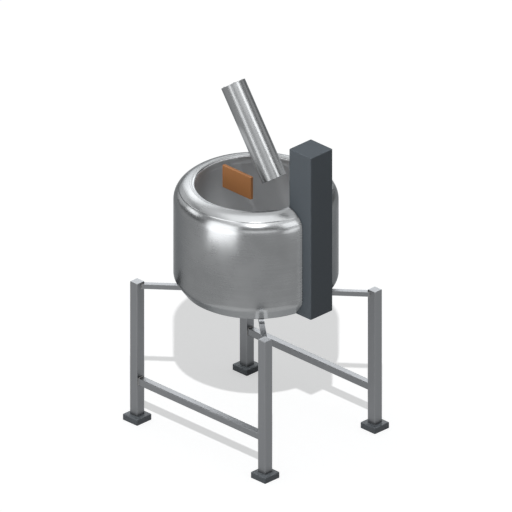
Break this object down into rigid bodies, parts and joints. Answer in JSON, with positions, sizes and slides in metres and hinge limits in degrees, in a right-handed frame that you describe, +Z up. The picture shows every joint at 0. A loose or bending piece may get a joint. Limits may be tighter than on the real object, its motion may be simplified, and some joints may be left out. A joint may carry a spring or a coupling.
{
  "type": "ganache mixer",
  "caption": "Heated mixing kettle on a four-legged stand, with a bottom-driven anchor agitator, a control column and a tilting emulsifier head on a boom.",
  "frame": {"origin": "on the floor, under the kettle's axis, midway between the four feet", "axes": "+Z up, +X from the kettle's axis towards the column, -Y towards the front"},
  "size_m": [0.78, 0.68, 1.4583],
  "materials": {
    "brushed_stainless": "brushed stainless steel",
    "polished_stainless": "polished stainless steel",
    "head_stainless": "fine-ground stainless steel",
    "foot_rubber": "moulded dark rubber",
    "mineral_wool": "mineral wool felt",
    "heater_sheath": "dull sheath",
    "column_paint": "satin dark blue-grey powder coat",
    "panel_paint": "satin grey powder coat",
    "start_plastic": "gloss green",
    "stop_plastic": "gloss red",
    "black_plastic": "matt black",
    "brown_plastic": "matt brown food plastic",
    "seal_rubber": "matt black",
    "bearing_steel": "ground steel",
    "cast_aluminium": "cast, lightly blasted",
    "motor_paint": "dark blue-grey enamel"
  },
  "bodies": {
    "stand": {"leg_front_left": "brushed_stainless", "foot_front_left": "foot_rubber", "leg_front_right": "brushed_stainless", "foot_front_right": "foot_rubber", "leg_back_right": "brushed_stainless", "foot_back_right": "foot_rubber", "leg_back_left": "brushed_stainless", "foot_back_left": "foot_rubber", "front_rail": "brushed_stainless", "back_rail": "brushed_stainless", "cradle": "brushed_stainless", "inner_bowl": "polished_stainless", "outer_jacket": "polished_stainless", "bottom_cover": "brushed_stainless", "rim_ring": "polished_stainless", "insulation_sleeve": "mineral_wool", "heater_rings": "heater_sheath", "column_shell": "column_paint", "column_base": "column_paint", "control_panel": "panel_paint", "drive_controller": "cast_aluminium", "cable_gland": "black_plastic", "bearing_neck": "brushed_stainless", "neck_bearings": "bearing_steel", "neck_seal": "seal_rubber", "gearbox_housing": "cast_aluminium", "gearbox_cover": "cast_aluminium", "agitator_motor": "motor_paint", "outlet_pipe": "brushed_stainless", "valve_body": "brushed_stainless", "baffle_plate": "brown_plastic", "baffle_arm": "brushed_stainless", "baffle_socket": "brushed_stainless", "tilt_pin": "black_plastic", "boom": "brushed_stainless", "boom_bracket": "brushed_stainless"},
    "agitator": {"agitator_shaft": "bearing_steel", "agitator_hub": "brushed_stainless", "hub_nut": "brushed_stainless", "anchor_arm_1": "brushed_stainless", "anchor_arm_2": "brushed_stainless", "scraper_blade_1": "brown_plastic", "scraper_blade_2": "brown_plastic", "drive_gear": "bearing_steel"},
    "motor_drive": {"motor_pinion": "bearing_steel"},
    "tilt_carriage": {"carriage": "cast_aluminium"},
    "slide_clamp": {"slide_knob": "black_plastic"},
    "mixing_head": {"head_tube": "head_stainless", "head_cap": "head_stainless", "head_motor": "cast_aluminium", "stator": "brushed_stainless"},
    "head_rotor": {"rotor_shaft": "bearing_steel", "rotor": "brushed_stainless"},
    "outlet_valve": {"valve_disc": "brushed_stainless", "valve_lever": "brushed_stainless"},
    "start_push": {"start_button": "start_plastic"},
    "stop_push": {"stop_button": "stop_plastic"},
    "speed_dial": {"speed_knob": "black_plastic"}
  },
  "joints": [
    {"name": "agitator_spin", "type": "hinge", "parent": "stand", "child": "agitator", "pos_m": [0, 0, 0.6], "axis": [0, 0, 1], "continuous": true},
    {"name": "motor_spin", "type": "hinge", "parent": "stand", "child": "motor_drive", "pos_m": [-0.05657, 0.05657, 0.55], "axis": [0, 0, 1], "continuous": true},
    {"name": "head_tilt", "type": "hinge", "parent": "stand", "child": "tilt_carriage", "pos_m": [-0.05557, 0.07247, 1.16925], "axis": [0, 1, 0], "range_deg": [0, 30]},
    {"name": "head_slide", "type": "slide", "parent": "tilt_carriage", "child": "mixing_head", "axis": [0.5646, 0, -0.8253], "range_m": [0, 0.1]},
    {"name": "rotor_spin", "type": "hinge", "parent": "mixing_head", "child": "head_rotor", "pos_m": [0.01813, 0, 1.21967], "axis": [-0.5646, 0, 0.8253], "continuous": true},
    {"name": "slide_knob_turn", "type": "hinge", "parent": "tilt_carriage", "child": "slide_clamp", "pos_m": [-0.01968, 0.03718, 1.19381], "axis": [-0.5201, -0.7765, -0.3558], "range_deg": [0, 180]},
    {"name": "valve_turn", "type": "hinge", "parent": "stand", "child": "outlet_valve", "pos_m": [-0.15, 0, 0.538], "axis": [0, -1, 0], "range_deg": [0, 90]},
    {"name": "start_press", "type": "slide", "parent": "stand", "child": "start_push", "axis": [0, -1, 0], "range_m": [0, 0.004], "stiffness_N_per_m": 400},
    {"name": "stop_press", "type": "slide", "parent": "stand", "child": "stop_push", "axis": [0, -1, 0], "range_m": [0, 0.004], "stiffness_N_per_m": 500},
    {"name": "speed_turn", "type": "hinge", "parent": "stand", "child": "speed_dial", "pos_m": [0.3, 0.06, 1.25], "axis": [0, 1, 0], "range_deg": [0, 270]}
  ],
  "couplings": [
    {"joint": "motor_spin", "follows": "agitator_spin", "ratio": -3}
  ]
}
